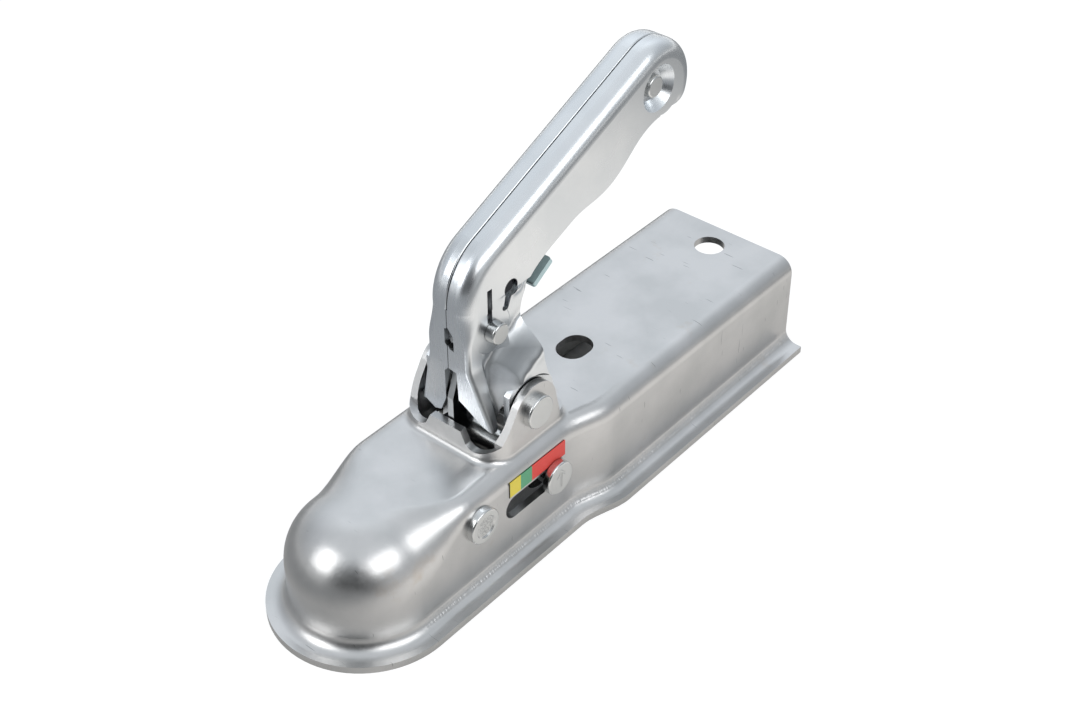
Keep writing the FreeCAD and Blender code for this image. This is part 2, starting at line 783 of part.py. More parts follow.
def safety_latch():
    half = latch_plate / 2
    x, z = latch_rivet
    pivot = (pivot_x, pivot_z)
    front_x = latch_front[-1][0]
    drop = math.sqrt(latch_foot_radius ** 2 - (front_x - pivot_x) ** 2)
    low = math.sqrt(latch_foot_radius ** 2 - (pivot_z - latch_foot_z) ** 2)
    start = (front_x, pivot_z - drop)
    stop = (pivot_x + low, latch_foot_z)
    a0 = math.degrees(math.atan2(start[1] - pivot_z, start[0] - pivot_x))
    a1 = math.degrees(math.atan2(stop[1] - pivot_z, stop[0] - pivot_x))
    middle = on_circle(pivot, latch_foot_radius, (a0 + a1) / 2)
    front = list(latch_front) + [start]
    rest = [stop, *latch_rear, tab_front, tab_rear, *latch_arm, front[0]]
    edges = [Part.LineSegment(side_point(a, -half), side_point(b, -half)).toShape()
             for a, b in zip(front, front[1:])]
    edges.append(Part.Arc(*[side_point(p, -half) for p in (start, middle, stop)]).toShape())
    edges += [Part.LineSegment(side_point(a, -half), side_point(b, -half)).toShape()
              for a, b in zip(rest, rest[1:])]
    plate = Part.Face(Part.Wire(edges)).extrude(Vector(0, latch_plate, 0))
    hub = rod(x, z, latch_hub_radius, -half, half)
    dx = tab_rear[0] - tab_front[0]
    dz = tab_rear[1] - tab_front[1]
    length = math.hypot(dx, dz)
    up = (dz / length * tab_plate, -dx / length * tab_plate)
    corners = [tab_front, tab_rear, (tab_rear[0] + up[0], tab_rear[1] + up[1]),
               (tab_front[0] + up[0], tab_front[1] + up[1])]
    tab = polygon_prism(corners, -tab_half, tab_half)
    across = [e for e in tab.Edges if abs(e.tangentAt(e.FirstParameter).y) < 0.1
              and e.Length < tab_plate + 0.1]
    tab = tab.makeFillet(tab_corner, across)
    return fused([plate, hub, tab]).cut(rod(x, z, latch_sleeve_radius + running, -5, 5))


def coil(x, z, mean, wire, y0, turns, pitch, down, up):
    # Wire wound about an axis along Y, its round section kept to eight flats. Both legs leave
    # the rear of the coil, one down at the start and one up at the end.
    helix = Part.makeHelix(pitch, pitch * turns, mean)
    helix.rotate(Vector(0, 0, 0), Vector(1, 0, 0), -90)
    helix.rotate(Vector(0, 0, 0), Vector(0, 1, 0), 180)
    helix.translate(Vector(x, y0, z))
    path = helix.Edges[0]
    ring = Part.makeCircle(wire / 2, path.valueAt(path.FirstParameter),
                           path.tangentAt(path.FirstParameter))
    flats = [ring.valueAt(ring.FirstParameter + math.radians(45 * i)) for i in range(9)]
    body = Part.Wire(helix.Edges).makePipeShell([Part.makePolygon(flats)], True, True)
    rear = x - mean
    low = Part.makeCylinder(wire / 2, down, Vector(rear, y0, z - down))
    high = Part.makeCylinder(wire / 2, up, Vector(rear, y0 + pitch * turns, z))
    return body, low, high


def latch_spring():
    x, z = latch_rivet
    body, low, high = coil(x, z, latch_sleeve_radius + 1.3, latch_wire, latch_coil_start,
                           3, latch_wire + 0.12, 13.0, 4.0)
    return fused([body, low, high])


def jaw_spring_start():
    return -jaw_spring_turns * jaw_spring_pitch / 2


def jaw_spring():
    body, low, high = coil(jaw_pin_x, jaw_pin_z, jaw_spring_mean, jaw_spring_wire, jaw_spring_start(),
                           jaw_spring_turns, jaw_spring_pitch, jaw_spring_leg,
                           roof_top - sheet - jaw_pin_z - running)
    return fused([body, low, high])


# Ball jaw with its two cam arms

def cam_arm():
    points = pin_path((jaw_pin_x, jaw_pin_z), jaw_swing)
    slot = indicator_radius + cam_play
    outline = track(points + [(jaw_pin_x, jaw_pin_z)], slot + arm_margin, arm_inner, arm_outer)
    hub = rod(jaw_pin_x, jaw_pin_z, jaw_hub_radius, spring_half, jaw_hub_outer)
    return fused([outline, hub]).cut(track(points, slot, arm_inner - 1, arm_outer + 1))


def ball_cup():
    # Grips the ball from behind and below. Shaped closed on the ball, then swung open.
    inner = ball_radius + ball_play
    thick = cup_radius
    shell_solid = Part.makeSphere(thick).cut(Part.makeSphere(inner))
    lip = -inner * math.sin(math.radians(jaw_lip_angle))
    corners = [Vector(0, 0, lip), Vector(-60, 60, lip), Vector(-60, -60, lip)]
    wedge = Part.Face(Part.makePolygon(corners + corners[:1]))
    wedge = wedge.extrude(Vector(0, 0, jaw_pin_z + 1 - lip))
    swing = rod(jaw_pin_x, jaw_pin_z, cup_swing_radius, -40, 40)
    cup = shell_solid.common(wedge).common(swing)
    cup.rotate(Vector(jaw_pin_x, 0, jaw_pin_z), Vector(0, 1, 0), jaw_swing)
    return cup


def web():
    # Joins an arm to the middle of the cup's wall. It swings with the cup.
    inner = ball_radius + ball_play
    reach = math.sqrt(((inner + cup_radius) / 2) ** 2 - ((arm_inner + arm_outer) / 2) ** 2)
    hub = indicator_radius + cam_play + arm_margin
    plate = belt((jaw_pin_x, jaw_pin_z), hub, (-reach, 0), web_radius, arm_inner, arm_outer)
    plate = plate.cut(Part.makeSphere(inner))
    plate.rotate(Vector(jaw_pin_x, 0, jaw_pin_z), Vector(0, 1, 0), jaw_swing)
    return plate


def ball_jaw():
    arm = fused([cam_arm(), web()])
    body = fused([ball_cup(), arm, mirrored(arm)])
    well = rod(jaw_pin_x, jaw_pin_z, jaw_hub_radius + 0.6, -spring_half, spring_half)
    bore = rod(jaw_pin_x, jaw_pin_z, jaw_pin_radius + running, -40, 40)
    groove = Part.makeCylinder(jaw_spring_wire / 2 + side_gap, jaw_spring_leg + 1,
                               Vector(jaw_pin_x - jaw_spring_mean, jaw_spring_start(),
                                      jaw_pin_z - jaw_spring_leg - 1))
    return body.cut([well, bore, groove])


# Sleeves, washers and the printed label

def small_parts():
    px = indicator_x
    lx, lz = latch_rivet
    gx, gz = grip_rivet
    skin = grip_half - dimple_depth - shell
    pin = indicator_radius
    gap = side_gap
    far = -wall_outer - gap
    washer = tube(px, slot_z, pin, pin + 3.5, arm_outer + gap, leg_inner - gap)
    jaw_washer = tube(jaw_pin_x, jaw_pin_z, jaw_pin_radius, jaw_pin_radius + 2.2,
                      jaw_hub_outer + 0.15, wall_inner - 0.4)
    sleeve_bore = pivot_radius + running
    return {
        "grip_spacer": tube(gx, gz, grip_rivet_radius, grip_rivet_radius + 2.5, -skin, skin),
        "latch_sleeve": tube(lx, lz, latch_rivet_radius, latch_sleeve_radius,
                             sleeve_gap + shell - grip_half, grip_half - shell - sleeve_gap),
        "pivot_sleeve": tube(pivot_x, pivot_z, sleeve_bore, pivot_radius + 2.5, -leg_inner, leg_inner),
        "pin_sleeve": tube(px, slot_z, pin, pin + 2.5, gap - arm_inner, arm_inner - gap),
        "pin_washer_left": washer,
        "pin_washer_right": mirrored(washer),
        "indicator_washer": tube(px, slot_z, pin, indicator_head_radius, -indicator_washer_seat, far),
        "jaw_washer_left": jaw_washer,
        "jaw_washer_right": mirrored(jaw_washer),
    }


def rivets():
    gx, gz = grip_rivet
    lx, lz = latch_rivet
    floor = grip_half - dimple_depth
    return {
        "grip_rivet": through_pin(gx, gz, grip_rivet_radius, grip_rivet_head, floor, head_height),
        "latch_rivet": through_pin(lx, lz, latch_rivet_radius, latch_rivet_head, grip_half,
                                   latch_rivet_proud),
        "handle_pivot_pin": through_pin(pivot_x, pivot_z, pivot_radius, pivot_head_radius,
                                        ear_outer, head_height),
        "jaw_pivot_pin": jaw_pivot_pin(),
        "indicator_pin": indicator_pin(),
    }


def indicator_label():
    # Printed strip on the left wall, in three fields.
    return box(label_rear, label_front, wall_outer, wall_outer + label_thickness,
               label_low, label_high)


if __name__ == "__main__":
    os.makedirs("parts", exist_ok=True)
    handle = plain_shell()
    nodes = {
        "housing": housing(),
        "indicator_label": indicator_label(),
        "handle_half_left": finished_shell(handle, seam_cuts(left_window, left_gap)),
        "handle_half_right": mirrored(finished_shell(handle, seam_cuts(right_window, right_gap))),
        "safety_latch": safety_latch(),
        "latch_spring": latch_spring(),
        "ball_jaw": ball_jaw(),
        "jaw_spring": jaw_spring(),
    }
    nodes.update(rivets())
    nodes.update(small_parts())
    for name, shape in nodes.items():
        shape.exportStep("parts/" + name + ".step")
        print(name, shape.isValid(), len(shape.Solids), round(shape.Volume))
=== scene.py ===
import math

import bpy
from mathutils import Matrix, Vector


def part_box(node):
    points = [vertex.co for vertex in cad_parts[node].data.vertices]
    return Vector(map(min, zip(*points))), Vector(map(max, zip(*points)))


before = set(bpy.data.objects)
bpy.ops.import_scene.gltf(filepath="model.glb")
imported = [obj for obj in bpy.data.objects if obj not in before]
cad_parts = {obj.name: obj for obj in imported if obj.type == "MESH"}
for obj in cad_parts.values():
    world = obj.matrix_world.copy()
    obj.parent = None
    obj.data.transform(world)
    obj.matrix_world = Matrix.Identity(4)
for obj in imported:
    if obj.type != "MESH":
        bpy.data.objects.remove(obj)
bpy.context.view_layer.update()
scene = bpy.context.scene

# Camera and studio. The photograph looks down on the left front of the coupling from
# about two thirds of a metre, over a white table under two large soft boxes.
EYE = Vector((0.306475, 0.339553, 0.455246))
VIEW_AZIMUTH = math.radians(129.975)
VIEW_ELEVATION = math.radians(38.518)
VIEW_ROLL = math.radians(-0.11)
LENS_MM = 59.14
SENSOR_MM = 36.0
FARTHEST = 20.0
SOFT_BOX_DISTANCE = 1.5

back = Vector((math.sin(VIEW_AZIMUTH) * math.cos(VIEW_ELEVATION),
               -math.cos(VIEW_AZIMUTH) * math.cos(VIEW_ELEVATION),
               math.sin(VIEW_ELEVATION)))
right = Vector((math.cos(VIEW_AZIMUTH), math.sin(VIEW_AZIMUTH), 0.0))
up = back.cross(right)
turn = Matrix((right, up, back)).transposed().to_4x4()
camera = bpy.data.objects.new("camera", bpy.data.cameras.new("camera"))
camera.data.lens = LENS_MM
camera.data.sensor_width = SENSOR_MM
camera.data.clip_end = FARTHEST
camera.matrix_world = Matrix.Translation(EYE) @ turn @ Matrix.Rotation(VIEW_ROLL, 4, "Z")
scene.collection.objects.link(camera)
scene.camera = camera
scene.view_settings.view_transform = "Standard"


def linear(hex_code):
    # The linear colour of an sRGB hex code, with full alpha.
    parts = [int(hex_code[i:i + 2], 16) / 255.0 for i in (1, 3, 5)]
    parts = [p / 12.92 if p <= 0.04045 else ((p + 0.055) / 1.055) ** 2.4 for p in parts]
    return (*parts, 1.0)


def soft_box(name, direction, size, watts, tint):
    lamp = bpy.data.lights.new(name, "AREA")
    lamp.shape = "RECTANGLE"
    lamp.size, lamp.size_y = size
    lamp.energy = watts
    lamp.color = linear(tint)[:3]
    where = Vector(direction).normalized() * SOFT_BOX_DISTANCE
    towards_object = where.to_track_quat("Z", "Y").to_matrix().to_4x4()
    holder = bpy.data.objects.new(name, lamp)
    holder.matrix_world = Matrix.Translation(where) @ towards_object
    scene.collection.objects.link(holder)


soft_box("box_left", direction=(0.07, 0.75, 0.65), size=(1.28, 0.72), watts=6.0,
         tint="#FFFFFF")
soft_box("box_front", direction=(0.85, -0.33, 0.62), size=(0.72, 0.9), watts=5.4,
         tint="#FFFFFF")

# The room round the table: white at the horizon, where the card ends, grey walls under a
# pale bluish ceiling, a pale backdrop behind the coupling, and a dark gap between the soft
# boxes, low on the side that the picture is taken from.
HORIZON = "#FFFFFF"
CEILING = "#E6EBF1"
# The colours between, by the sine of the angle above the horizon.
WALLS = ((0.045, "#FFFFFF"), (0.065, "#A8ABAE"), (0.30, "#B2B7BC"), (0.62, "#C2C8CF"),
         (0.86, "#DCE2E8"))
# Each has the way that it lies, the cosines off that way at which it begins and is full, and
# its brightness.
DARK_GAP = ((0.84, 0.52, 0.16), 0.66, 0.94, 0.10)
BACKDROP = ((-0.74, -0.61, 0.28), 0.45, 0.96, 1.7)


def add(tree, kind, values=None, links=None, **settings):
    # Adds one node, with its settings, its input values and the sockets that feed it.
    node = tree.nodes.new(kind)
    for name, value in settings.items():
        setattr(node, name, value)
    for name, value in (values or {}).items():
        node.inputs[name].default_value = value
    for name, socket in (links or {}).items():
        tree.links.new(socket, node.inputs[name])
    return node


world = bpy.data.worlds.new("studio")
scene.world = world
world.use_nodes = True
sky = world.node_tree
sky.nodes.clear()
aim = add(sky, "ShaderNodeTexCoord").outputs["Generated"]
axes = add(sky, "ShaderNodeSeparateXYZ", links={0: aim})
room = add(sky, "ShaderNodeValToRGB", links={"Fac": axes.outputs["Z"]})
stops = room.color_ramp.elements
stops[0].color = linear(HORIZON)
stops[1].color = linear(CEILING)
for height, tint in WALLS:
    stops.new(height).color = linear(tint)
levels = []
for way, begins, full, brightness in (DARK_GAP, BACKDROP):
    cosine = add(sky, "ShaderNodeVectorMath", {1: way}, {0: aim}, operation="DOT_PRODUCT")
    levels.append(add(sky, "ShaderNodeMapRange",
                      {"From Min": begins, "From Max": full, "To Min": 1.0,
                       "To Max": brightness},
                      {"Value": cosine.outputs["Value"]}, interpolation_type="SMOOTHSTEP"))
level = add(sky, "ShaderNodeMath", links={0: levels[0].outputs[0], 1: levels[1].outputs[0]},
            operation="MULTIPLY")
lit = add(sky, "ShaderNodeBackground",
          links={"Color": room.outputs["Color"], "Strength": level.outputs[0]})
add(sky, "ShaderNodeOutputWorld", links={"Surface": lit.outputs[0]})

# Table top under the coupling, a wide sheet of matt white card that runs out of view. It
# glows for the camera and in reflections, but not where the coupling covers it. In
# reflections it carries a painted pool of light, greying away from it, and a painted shadow
# close beside the coupling.
CARD_HALF = 6.0
CARD_COLOUR = "#F2F2F1"
GLOW_SEEN = "#FFFFFF"
GLOW_REFLECTED = "#F3EFEA"
GLOW_STRENGTH = 1.18
# The other share stays matt card, which keeps the coupling's shadow.
GLOW_SHARE = 0.7
SHADE_COLOUR = "#6E7378"
# The painted pool of light on the card, seen in reflections, from its middle to where its light
# ends.
POOL_SPOT = (-0.15, 0.13)
POOL_RADIUS = 0.10
POOL_FADE_RADIUS = 0.30
POOL_FADE_SHADE = 0.85
# The painted shadow beside the coupling, seen in reflections, by distance from the edge of the
# covered part.
CONTACT_NEAR = 0.004
CONTACT_FAR = 0.042
CONTACT_SHADE = 0.42
# The covered part lies a little inside the flange and ends under the centre of the socket.
BOX_COVER_HALF = 0.0405
WAIST_COVER_HALF = 0.0355
COVER_FLARE_REAR = -0.103
COVER_FLARE_FRONT = -0.080
REAR_INSET = 0.004
# Sockets of a Mix node set to colours, which share their names with its other sockets.
MIX_A = 6
MIX_B = 7
MIX_RESULT = 2

rear_end, _, table_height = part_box("housing")[0]
cover_half_length = -(rear_end + REAR_INSET) / 2
card = bpy.data.materials.new("white_card")
card.use_nodes = True
tree = card.node_tree
tree.nodes.clear()
place = add(tree, "ShaderNodeTexCoord").outputs["Object"]
axes = add(tree, "ShaderNodeSeparateXYZ", links={0: place})
cover_half = add(tree, "ShaderNodeMapRange",
                 {"From Min": COVER_FLARE_REAR, "From Max": COVER_FLARE_FRONT,
                  "To Min": BOX_COVER_HALF, "To Max": WAIST_COVER_HALF},
                 {"Value": axes.outputs["X"]})
off_middle = add(tree, "ShaderNodeMath", links={0: axes.outputs["Y"]}, operation="ABSOLUTE")
outside = add(tree, "ShaderNodeMath",
              links={0: off_middle.outputs[0], 1: cover_half.outputs[0]},
              operation="SUBTRACT")
beside = add(tree, "ShaderNodeMath", {1: 0.0}, {0: outside.outputs[0]},
             operation="GREATER_THAN")
# Painted shadow on the card beside the coupling, seen in reflections only.
painted_contact_shadow = add(tree, "ShaderNodeMapRange",
              {"From Min": CONTACT_NEAR, "From Max": CONTACT_FAR,
               "To Min": CONTACT_SHADE, "To Max": 0.0},
              {"Value": outside.outputs[0]})
along = add(tree, "ShaderNodeMath", {1: cover_half_length}, {0: axes.outputs["X"]},
            operation="ADD")
along = add(tree, "ShaderNodeMath", links={0: along.outputs[0]}, operation="ABSOLUTE")
beyond_ends = add(tree, "ShaderNodeMath", {1: cover_half_length}, {0: along.outputs[0]},
                  operation="GREATER_THAN")
clear = add(tree, "ShaderNodeMath", links={0: beside.outputs[0], 1: beyond_ends.outputs[0]},
            operation="MAXIMUM")
away = add(tree, "ShaderNodeVectorMath", {1: (*POOL_SPOT, table_height)}, {0: place},
           operation="DISTANCE")
# Painted pool of light: in reflections the card greys away from it towards a painted shade.
painted_off_pool_shade = add(tree, "ShaderNodeMapRange",
           {"From Min": POOL_RADIUS, "From Max": POOL_FADE_RADIUS, "To Max": POOL_FADE_SHADE},
           {"Value": away.outputs["Value"]}, interpolation_type="SMOOTHSTEP")
rays = add(tree, "ShaderNodeLightPath")
seen = add(tree, "ShaderNodeMath", operation="MAXIMUM",
           links={0: rays.outputs["Is Camera Ray"], 1: rays.outputs["Is Glossy Ray"]})
seen = add(tree, "ShaderNodeMath", operation="MAXIMUM",
           links={0: seen.outputs[0], 1: rays.outputs["Is Transmission Ray"]})
glowing = add(tree, "ShaderNodeMath", {1: GLOW_SHARE}, {0: seen.outputs[0]},
              operation="MULTIPLY")
glowing = add(tree, "ShaderNodeMath", links={0: glowing.outputs[0], 1: clear.outputs[0]},
              operation="MULTIPLY")
matt = add(tree, "ShaderNodeBsdfDiffuse", {"Color": linear(CARD_COLOUR)})
glow_tint = add(tree, "ShaderNodeMix",
                {MIX_A: linear(GLOW_SEEN), MIX_B: linear(GLOW_REFLECTED)},
                {0: rays.outputs["Is Glossy Ray"]}, data_type="RGBA")
glow = add(tree, "ShaderNodeEmission", {"Strength": GLOW_STRENGTH},
           {"Color": glow_tint.outputs[MIX_RESULT]})
lit_card = add(tree, "ShaderNodeMixShader",
               links={0: glowing.outputs[0], 1: matt.outputs[0], 2: glow.outputs[0]})
# The painted shade's colour, mixed in for reflections only.
shade = add(tree, "ShaderNodeEmission", {"Color": linear(SHADE_COLOUR)})
shaded = add(tree, "ShaderNodeMath", links={0: painted_off_pool_shade.outputs[0], 1: painted_contact_shadow.outputs[0]},
             operation="MAXIMUM")
shaded = add(tree, "ShaderNodeMath", operation="MULTIPLY",
             links={0: shaded.outputs[0], 1: rays.outputs["Is Glossy Ray"]})
shaded = add(tree, "ShaderNodeMath", links={0: shaded.outputs[0], 1: clear.outputs[0]},
             operation="MULTIPLY")
look = add(tree, "ShaderNodeMixShader",
           links={0: shaded.outputs[0], 1: lit_card.outputs[0], 2: shade.outputs[0]})
add(tree, "ShaderNodeOutputMaterial", links={"Surface": look.outputs[0]})

corners = [(-CARD_HALF, -CARD_HALF, table_height), (CARD_HALF, -CARD_HALF, table_height),
           (CARD_HALF, CARD_HALF, table_height), (-CARD_HALF, CARD_HALF, table_height)]
sheet = bpy.data.meshes.new("table")
sheet.from_pydata(corners, [], [(0, 1, 2, 3)])
table = bpy.data.objects.new("table", sheet)
scene.collection.objects.link(table)
table.data.materials.append(card)

# Pressed housing. One blank of 3 mm steel sheet, drawn over a punch and zinc plated: satin
# with a fine crystal grain, coarser over the bends, with painted shade in the recesses, a few
# brown stains and short nicks, and ribbed by scuffs along the foot of the walls.
CLOUD_MM = 26.0
CLOUD_DARK_BELOW = 0.36
CLOUD_LIGHT_ABOVE = 0.64
# Real zinc crystals are about 0.05 mm. They are drawn at 0.4 mm, the finest that shows.
CRYSTAL_MM = 0.4
STREAK_RIDGE = 0.0000012
ROUGHNESS_SWING = 0.03
RECESS_SHADE_TINT = "#1E2126"
RECESS_SHADE = 0.93
RECESS_DEEP = 0.10
RECESS_OPEN = 0.46
RECESS_SAMPLES = 6
STAIN_MM = 34.0
STAIN_TINT = "#B7A184"
STAIN_SHARE = 0.32
STAIN_FROM = 0.62
STAIN_FULL = 0.72
NICK_MM = (0.5, 9.0, 7.0)
NICK_TURN = (0.3, 0.5, 0.9)
NICK_TINT = "#55585C"
NICK_SHARE = 0.6
NICK_FROM = 0.835
NICK_FULL = 0.86
# The stretched sheet of the bends, by the upward part of its normal.
BEND_FROM = 0.96
BEND_FULL = 0.80
PEEL_MM = 0.8
PEEL_DEPTH = 0.000014
# The scuffed band, by the places at which it begins and is full.
SCUFF_BOTTOM_FROM, SCUFF_BOTTOM_FULL = -0.0118, -0.0112
SCUFF_TOP_FROM, SCUFF_TOP_FULL = -0.0086, -0.0098
SCUFF_NOSE_FROM, SCUFF_NOSE_FULL = 0.002, -0.006
SCUFF_MM = (0.8, 9.0, 9.0)
SCUFF_DEPTH = 0.0003


def per_metre(size_mm):
    # The scale at which a noise's features have this size.
    return 1000.0 / size_mm


def metal_skin(name, light, dark, rough, grain_um, streak_mm, recess_mm):
    # Satin metal in two tints that lie in clouds, with streaks, crystal grain and painted shade
    # in its recesses.
    skin = bpy.data.materials.new(name)
    skin.use_nodes = True
    tree = skin.node_tree
    tree.nodes.clear()
    place = add(tree, "ShaderNodeTexCoord").outputs["Object"]
    cloud = add(tree, "ShaderNodeTexNoise",
                {"Scale": per_metre(CLOUD_MM), "Detail": 4.0, "Roughness": 0.55},
                {"Vector": place})
    tone = add(tree, "ShaderNodeValToRGB", links={"Fac": cloud.outputs["Fac"]})
    dark_stop, light_stop = tone.color_ramp.elements
    dark_stop.position, light_stop.position = CLOUD_DARK_BELOW, CLOUD_LIGHT_ABOVE
    dark_stop.color, light_stop.color = linear(dark), linear(light)
    drawn = add(tree, "ShaderNodeMapping",
                {"Scale": [per_metre(size) for size in streak_mm]}, {"Vector": place})
    streaks = add(tree, "ShaderNodeTexNoise", {"Scale": 1.0, "Detail": 3.0, "Roughness": 0.6},
                  {"Vector": drawn.outputs[0]})
    grain = add(tree, "ShaderNodeTexNoise", {"Scale": per_metre(CRYSTAL_MM), "Detail": 1.0},
                {"Vector": place})
    # Painted shade: by ambient occlusion, the recesses darken towards a near-black tint.
    open_air = add(tree, "ShaderNodeAmbientOcclusion", {"Distance": recess_mm / 1000.0},
                   samples=RECESS_SAMPLES)
    painted_recess_shade = add(tree, "ShaderNodeMapRange",
                 {"From Min": RECESS_DEEP, "From Max": RECESS_OPEN,
                  "To Min": RECESS_SHADE, "To Max": 0.0},
                 {"Value": open_air.outputs["AO"]})
    recess_shaded = add(tree, "ShaderNodeMix", {MIX_B: linear(RECESS_SHADE_TINT)},
               {0: painted_recess_shade.outputs[0], MIX_A: tone.outputs["Color"]}, data_type="RGBA")
    spread = add(tree, "ShaderNodeMapRange",
                 {"From Min": 0.3, "From Max": 0.7,
                  "To Min": rough - ROUGHNESS_SWING, "To Max": rough + ROUGHNESS_SWING},
                 {"Value": streaks.outputs["Fac"]})
    ridged = add(tree, "ShaderNodeBump", {"Distance": STREAK_RIDGE},
                 {"Height": streaks.outputs["Fac"]})
    grained = add(tree, "ShaderNodeBump", {"Distance": grain_um * 1e-6},
                  {"Height": grain.outputs["Fac"], "Normal": ridged.outputs[0]})
    metal = add(tree, "ShaderNodeBsdfPrincipled", {"Metallic": 1.0},
                {"Base Color": recess_shaded.outputs[MIX_RESULT], "Roughness": spread.outputs[0],
                 "Normal": grained.outputs[0]})
    add(tree, "ShaderNodeOutputMaterial", links={"Surface": metal.outputs[0]})
    return skin, tree, metal


def dress(names, finish):
    for name in names:
        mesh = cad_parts[name].data
        mesh.materials.clear()
        mesh.materials.append(finish)


sheet_zinc, tree, metal = metal_skin(
    "sheet_zinc", light="#D6D5D4", dark="#C9C9C8", rough=0.32, grain_um=8.0,
    streak_mm=(1.0, 1.0, 30.0), recess_mm=14.0)
place = add(tree, "ShaderNodeTexCoord").outputs["Object"]
blot = add(tree, "ShaderNodeTexNoise",
           {"Scale": per_metre(STAIN_MM), "Detail": 5.0, "Roughness": 0.6}, {"Vector": place})
stained = add(tree, "ShaderNodeMapRange",
              {"From Min": STAIN_FROM, "From Max": STAIN_FULL, "To Max": STAIN_SHARE},
              {"Value": blot.outputs["Fac"]})
brown = add(tree, "ShaderNodeMix", {MIX_B: linear(STAIN_TINT)},
            {0: stained.outputs[0], MIX_A: metal.inputs["Base Color"].links[0].from_socket},
            data_type="RGBA")
crossed = add(tree, "ShaderNodeMapping",
              {"Rotation": NICK_TURN, "Scale": [per_metre(size) for size in NICK_MM]},
              {"Vector": place})
nicks = add(tree, "ShaderNodeTexNoise", {"Scale": 1.0, "Detail": 0.0},
            {"Vector": crossed.outputs[0]})
nicked = add(tree, "ShaderNodeMapRange",
             {"From Min": NICK_FROM, "From Max": NICK_FULL, "To Max": NICK_SHARE},
             {"Value": nicks.outputs["Fac"]})
marked = add(tree, "ShaderNodeMix", {MIX_B: linear(NICK_TINT)},
             {0: nicked.outputs[0], MIX_A: brown.outputs[MIX_RESULT]}, data_type="RGBA")
tree.links.new(marked.outputs[MIX_RESULT], metal.inputs["Base Color"])
normal = add(tree, "ShaderNodeNewGeometry").outputs["Normal"]
facing = add(tree, "ShaderNodeSeparateXYZ", links={0: normal})
bent = add(tree, "ShaderNodeMapRange", {"From Min": BEND_FROM, "From Max": BEND_FULL},
           {"Value": facing.outputs["Z"]})
stretched = add(tree, "ShaderNodeTexNoise", {"Scale": per_metre(PEEL_MM), "Detail": 2.0},
                {"Vector": place})
coarse = add(tree, "ShaderNodeMath", links={0: stretched.outputs["Fac"], 1: bent.outputs[0]},
             operation="MULTIPLY")
axes = add(tree, "ShaderNodeSeparateXYZ", links={0: place})
above = add(tree, "ShaderNodeMapRange",
            {"From Min": SCUFF_BOTTOM_FROM, "From Max": SCUFF_BOTTOM_FULL},
            {"Value": axes.outputs["Z"]})
below = add(tree, "ShaderNodeMapRange",
            {"From Min": SCUFF_TOP_FROM, "From Max": SCUFF_TOP_FULL},
            {"Value": axes.outputs["Z"]})
behind = add(tree, "ShaderNodeMapRange",
             {"From Min": SCUFF_NOSE_FROM, "From Max": SCUFF_NOSE_FULL},
             {"Value": axes.outputs["X"]})
rubbed = add(tree, "ShaderNodeMath", links={0: above.outputs[0], 1: below.outputs[0]},
             operation="MULTIPLY")
rubbed = add(tree, "ShaderNodeMath", links={0: rubbed.outputs[0], 1: behind.outputs[0]},
             operation="MULTIPLY")
ribs = add(tree, "ShaderNodeMapping", {"Scale": [per_metre(size) for size in SCUFF_MM]},
           {"Vector": place})
scuffs = add(tree, "ShaderNodeTexNoise", {"Scale": 1.0, "Detail": 2.0},
             {"Vector": ribs.outputs[0]})
ribbed = add(tree, "ShaderNodeMath", links={0: scuffs.outputs["Fac"], 1: rubbed.outputs[0]},
             operation="MULTIPLY")
peel = add(tree, "ShaderNodeBump", {"Distance": PEEL_DEPTH},
           {"Height": coarse.outputs[0], "Normal": metal.inputs["Normal"].links[0].from_socket})
scuffed = add(tree, "ShaderNodeBump", {"Distance": SCUFF_DEPTH},
              {"Height": ribbed.outputs[0], "Normal": peel.outputs[0]})
tree.links.new(scuffed.outputs[0], metal.inputs["Normal"])
dress(["housing"], sheet_zinc)

# Handle halves. Two mirrored pressings of 2.5 mm sheet, zinc plated and brighter than the
# housing, with faint draw lines along the grip. The step from cheek to leg, where the die
# stretched the sheet, is rougher and carries painted shade, and a painted sheen makes the faces
# that look forward the palest.
STEP_TOP_FROM, STEP_TOP_FULL = 0.074, 0.066
# The step's slope, by the sideways part of its normal.
SLOPE_FROM, SLOPE_FULL = 0.22, 0.42
CHEEK_FROM, CHEEK_FULL = 0.99, 0.93
STEP_SHADE_TINT = "#8F9294"
STEP_ROUGHER = 0.22
# The painted sheen on faces that look forward, by the forward part of their normal.
FRONT_FROM, FRONT_FULL = 0.55, 0.85
FRONT_SHEEN_TINT = "#F6FAFE"

handle_zinc, tree, metal = metal_skin(
    "handle_zinc", light="#E9EBEC", dark="#DFE2E4", rough=0.28, grain_um=2.0,
    streak_mm=(24.0, 1.6, 24.0), recess_mm=15.0)
place = add(tree, "ShaderNodeTexCoord").outputs["Object"]
axes = add(tree, "ShaderNodeSeparateXYZ", links={0: place})
normal = add(tree, "ShaderNodeNewGeometry").outputs["Normal"]
facing = add(tree, "ShaderNodeSeparateXYZ", links={0: normal})
below = add(tree, "ShaderNodeMapRange", {"From Min": STEP_TOP_FROM, "From Max": STEP_TOP_FULL},
            {"Value": axes.outputs["Z"]})
sideways = add(tree, "ShaderNodeMath", links={0: facing.outputs["Y"]}, operation="ABSOLUTE")
rising = add(tree, "ShaderNodeMapRange", {"From Min": SLOPE_FROM, "From Max": SLOPE_FULL},
             {"Value": sideways.outputs[0]})
leaning = add(tree, "ShaderNodeMapRange", {"From Min": CHEEK_FROM, "From Max": CHEEK_FULL},
              {"Value": sideways.outputs[0]})
